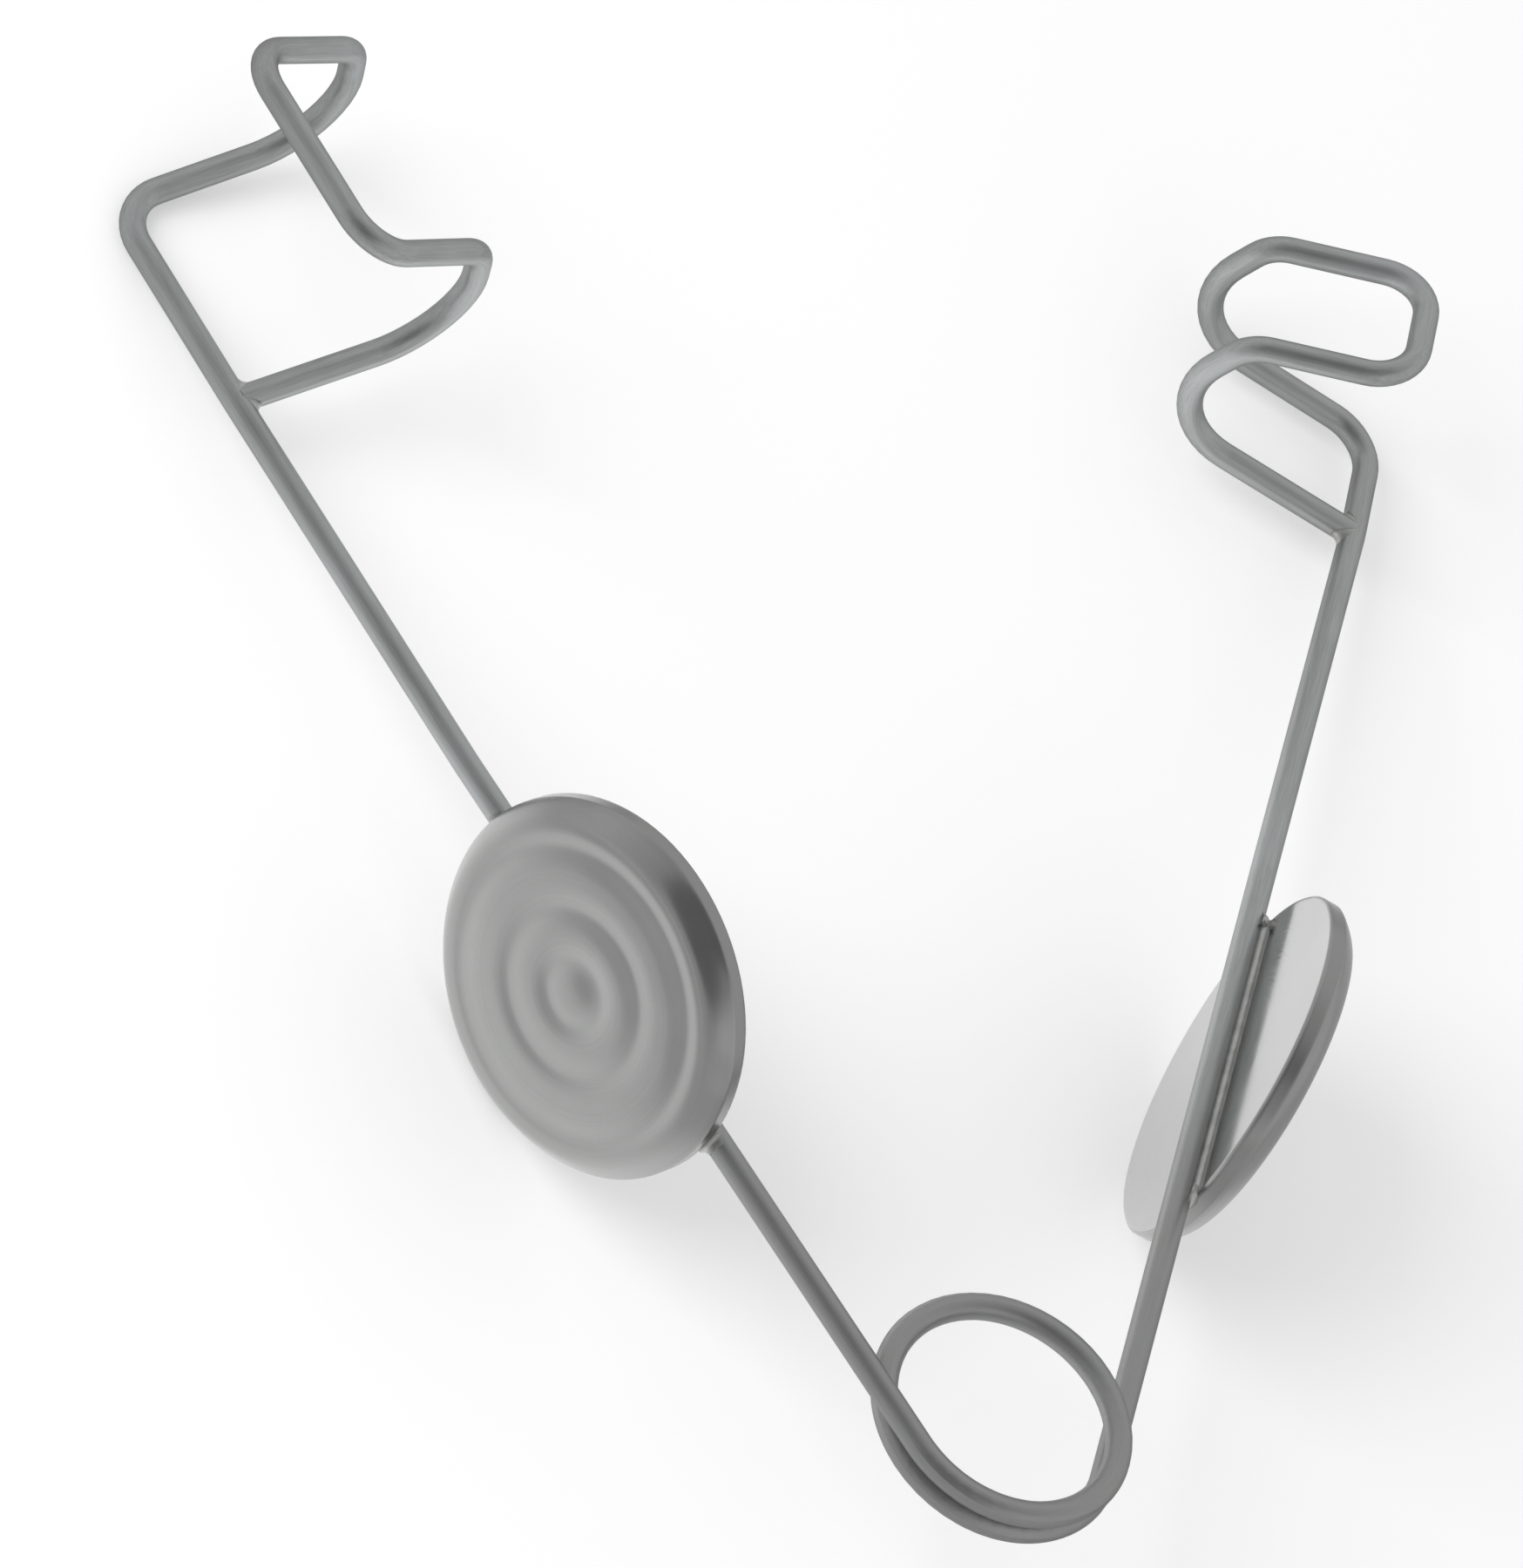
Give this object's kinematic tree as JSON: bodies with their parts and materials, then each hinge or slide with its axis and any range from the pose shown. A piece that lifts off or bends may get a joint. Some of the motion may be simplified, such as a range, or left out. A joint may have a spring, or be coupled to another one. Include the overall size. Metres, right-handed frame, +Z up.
{
  "type": "eye speculum",
  "caption": "Spring-wire eyelid speculum: a coil springs open two arms that end in hooked wire-loop blades, with a round ringed finger plate brazed outside each arm.",
  "frame": {"origin": "bottom centre of the bounding box, on the surface that the instrument lies on", "axes": "+Y from the coil to the blades, +X towards the right arm, +Z up with the blades hooked upwards"},
  "size_m": [0.0659, 0.069, 0.017],
  "materials": {
    "wire_steel": "satin drawn spring wire",
    "plate_steel": "fine satin on the ringed face, polished on the flat back",
    "braze": "cleaned silver brazing"
  },
  "bodies": {
    "root": {"spring_wire": "wire_steel", "left_finger_plate": "plate_steel", "right_finger_plate": "plate_steel", "left_plate_braze": "braze", "right_plate_braze": "braze", "left_blade_braze": "braze", "right_blade_braze": "braze"}
  },
  "joints": []
}
